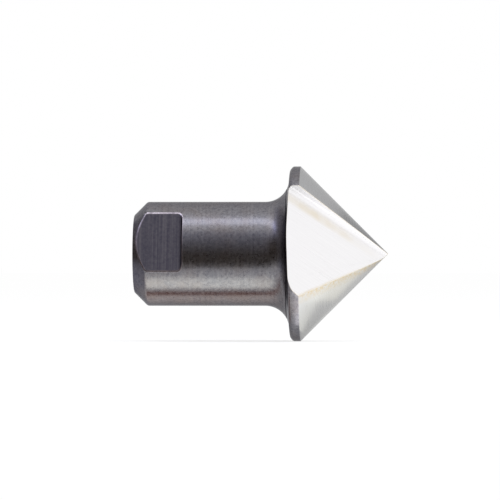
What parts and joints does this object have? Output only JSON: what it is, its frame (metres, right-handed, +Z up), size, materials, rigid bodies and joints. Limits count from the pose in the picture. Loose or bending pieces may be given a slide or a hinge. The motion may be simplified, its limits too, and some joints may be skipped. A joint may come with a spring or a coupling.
{
  "type": "live center",
  "caption": "Short straight-shank live center: a fluted conical point with a thin rim turns on bearings inside a dark shank that has a chamfered end and a clamping flat.",
  "frame": {"origin": "on the axis, where the straight shank ends and the neck starts", "axes": "+X along the axis towards the tip, +Z up; the clamping flat faces -Y turned 16 degrees up"},
  "size_m": [0.0464, 0.0294, 0.032],
  "materials": {
    "black_oxide_steel": "black oxide over a turned surface, satin",
    "ground_steel": "bright ground hardened steel, with a dark rim",
    "bearing_steel": "fine ground bearing steel",
    "pressed_steel": "drawn and pressed sheet steel",
    "spring_steel": "phosphated spring steel",
    "cage_brass": "turned brass",
    "seal_rubber": "matt nitrile rubber"
  },
  "bodies": {
    "shank": {"shank_body": "black_oxide_steel", "end_plug": "black_oxide_steel", "plug_seal": "seal_rubber", "seal_case": "pressed_steel", "seal_lip": "seal_rubber", "needle_cup": "pressed_steel", "thrust_housing_washer": "bearing_steel", "rear_outer_ring": "bearing_steel", "rear_front_shield": "pressed_steel", "rear_back_shield": "pressed_steel"},
    "point": {"center_point": "ground_steel", "thrust_shaft_washer": "bearing_steel", "rear_inner_ring": "bearing_steel", "backing_washer": "pressed_steel", "retaining_ring": "spring_steel"},
    "needle_set": {"needle_cage": "pressed_steel", "needle_rollers": "bearing_steel"},
    "thrust_ball_set": {"thrust_cage": "cage_brass", "thrust_balls": "bearing_steel"},
    "rear_ball_set": {"rear_cage": "pressed_steel", "rear_balls": "bearing_steel"}
  },
  "joints": [
    {"name": "point_spin", "type": "hinge", "parent": "shank", "child": "point", "pos_m": [0, 0, 0], "axis": [1, 0, 0], "continuous": true},
    {"name": "needle_set_spin", "type": "hinge", "parent": "shank", "child": "needle_set", "pos_m": [0, 0, 0], "axis": [1, 0, 0], "continuous": true},
    {"name": "thrust_ball_set_spin", "type": "hinge", "parent": "shank", "child": "thrust_ball_set", "pos_m": [0, 0, 0], "axis": [1, 0, 0], "continuous": true},
    {"name": "rear_ball_set_spin", "type": "hinge", "parent": "shank", "child": "rear_ball_set", "pos_m": [0, 0, 0], "axis": [1, 0, 0], "continuous": true}
  ],
  "couplings": [
    {"joint": "needle_set_spin", "follows": "point_spin", "ratio": 0.4351},
    {"joint": "thrust_ball_set_spin", "follows": "point_spin", "ratio": 0.5},
    {"joint": "rear_ball_set_spin", "follows": "point_spin", "ratio": 0.4118}
  ]
}
